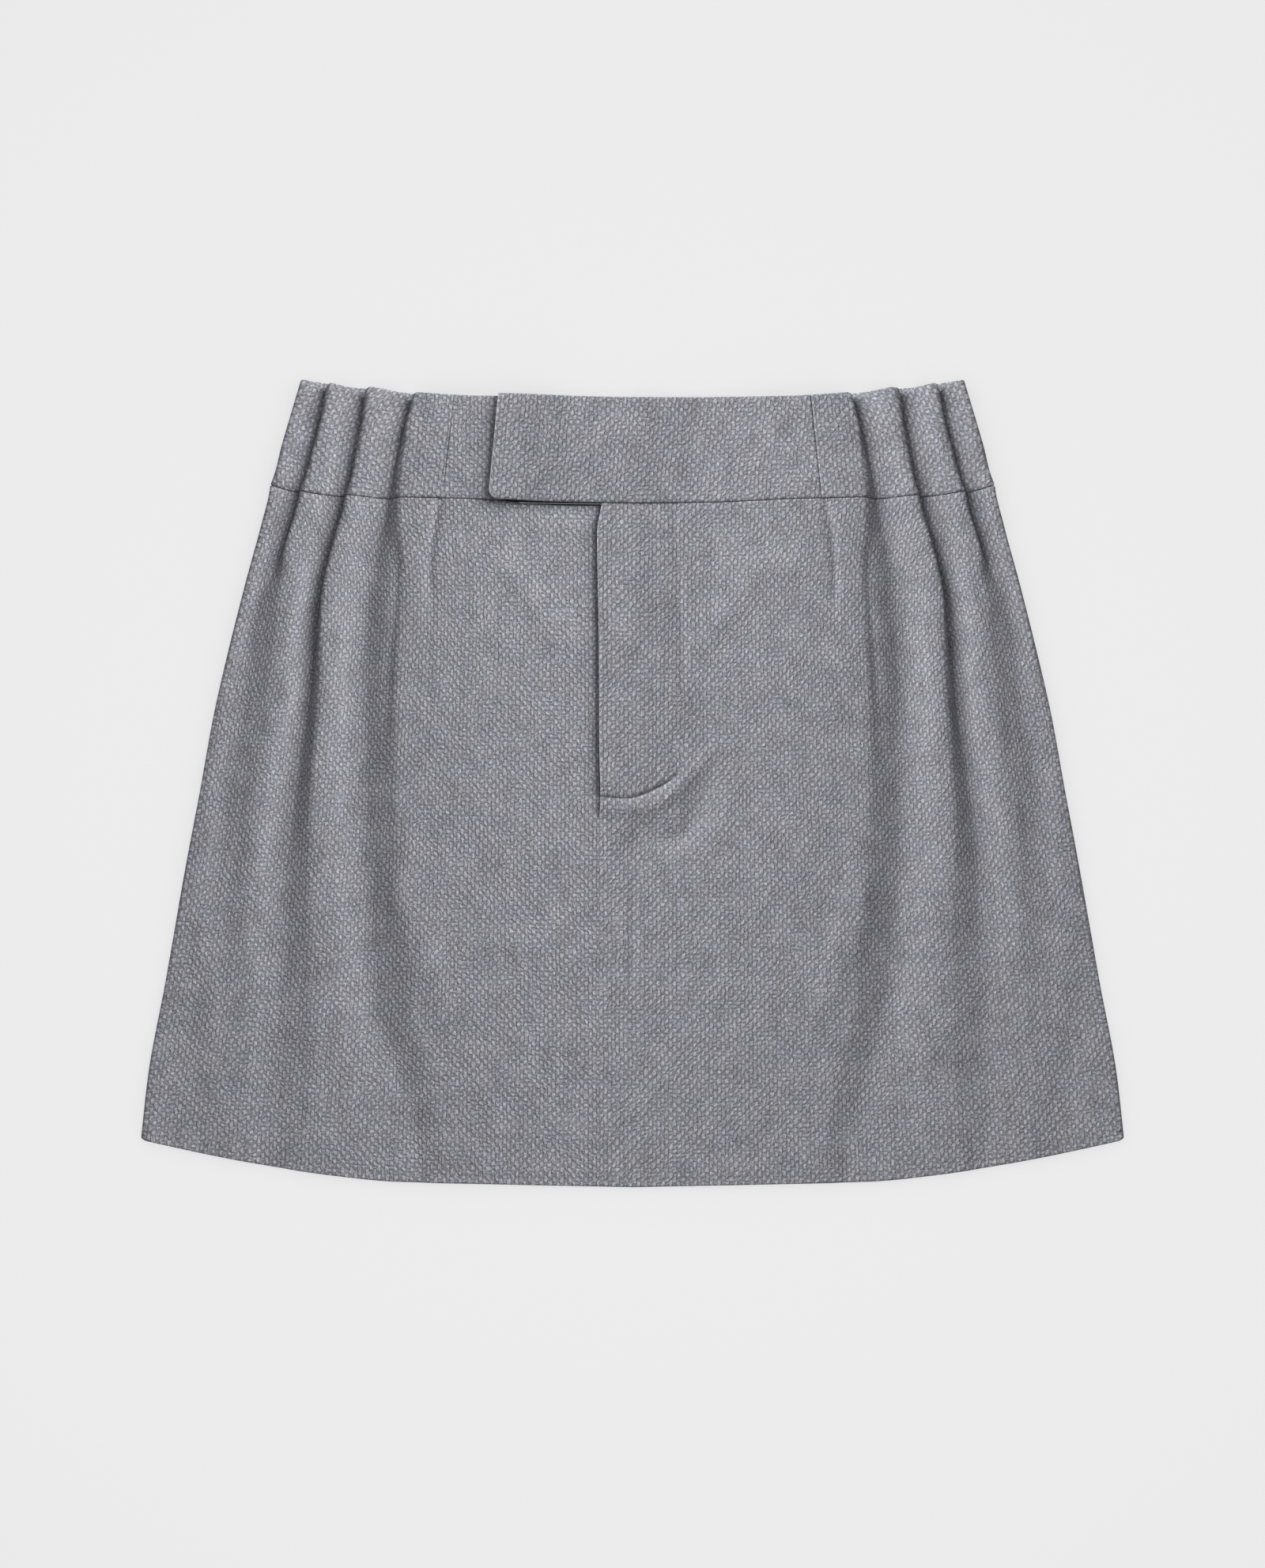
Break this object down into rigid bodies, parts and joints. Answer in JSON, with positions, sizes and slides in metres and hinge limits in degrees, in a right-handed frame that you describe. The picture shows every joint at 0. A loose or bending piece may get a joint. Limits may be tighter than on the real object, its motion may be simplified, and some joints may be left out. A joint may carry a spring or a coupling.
{
  "type": "pleated mini skirt",
  "caption": "Flared wool mini skirt lying flat with its front up: wide waistband with a lapped tab, fly front, and knife pleats that open from the sides of the waist towards the hem",
  "frame": {"origin": "under the middle of the skirt: on its centre line, halfway along its outline from hem to waist, on the plane on which its back lies", "axes": "+X towards the skirt's left side as worn, which is at the viewer's right, +Y from the hem to the waist, +Z out of the front, up from the surface on which it lies"},
  "size_m": [0.4984, 0.4078, 0.0115],
  "materials": {
    "body_wool": "matt grey marled wool in a coarse plain weave, slightly hairy",
    "band_wool": "the same matt grey marled wool, doubled for the waistband"
  },
  "bodies": {
    "root": {"body_back": "body_wool", "body_front_left": "body_wool", "body_front_right": "body_wool", "band_back": "band_wool", "band_side_left": "band_wool", "band_side_right": "band_wool", "band_front_left": "band_wool", "band_front_right": "band_wool"}
  },
  "joints": []
}
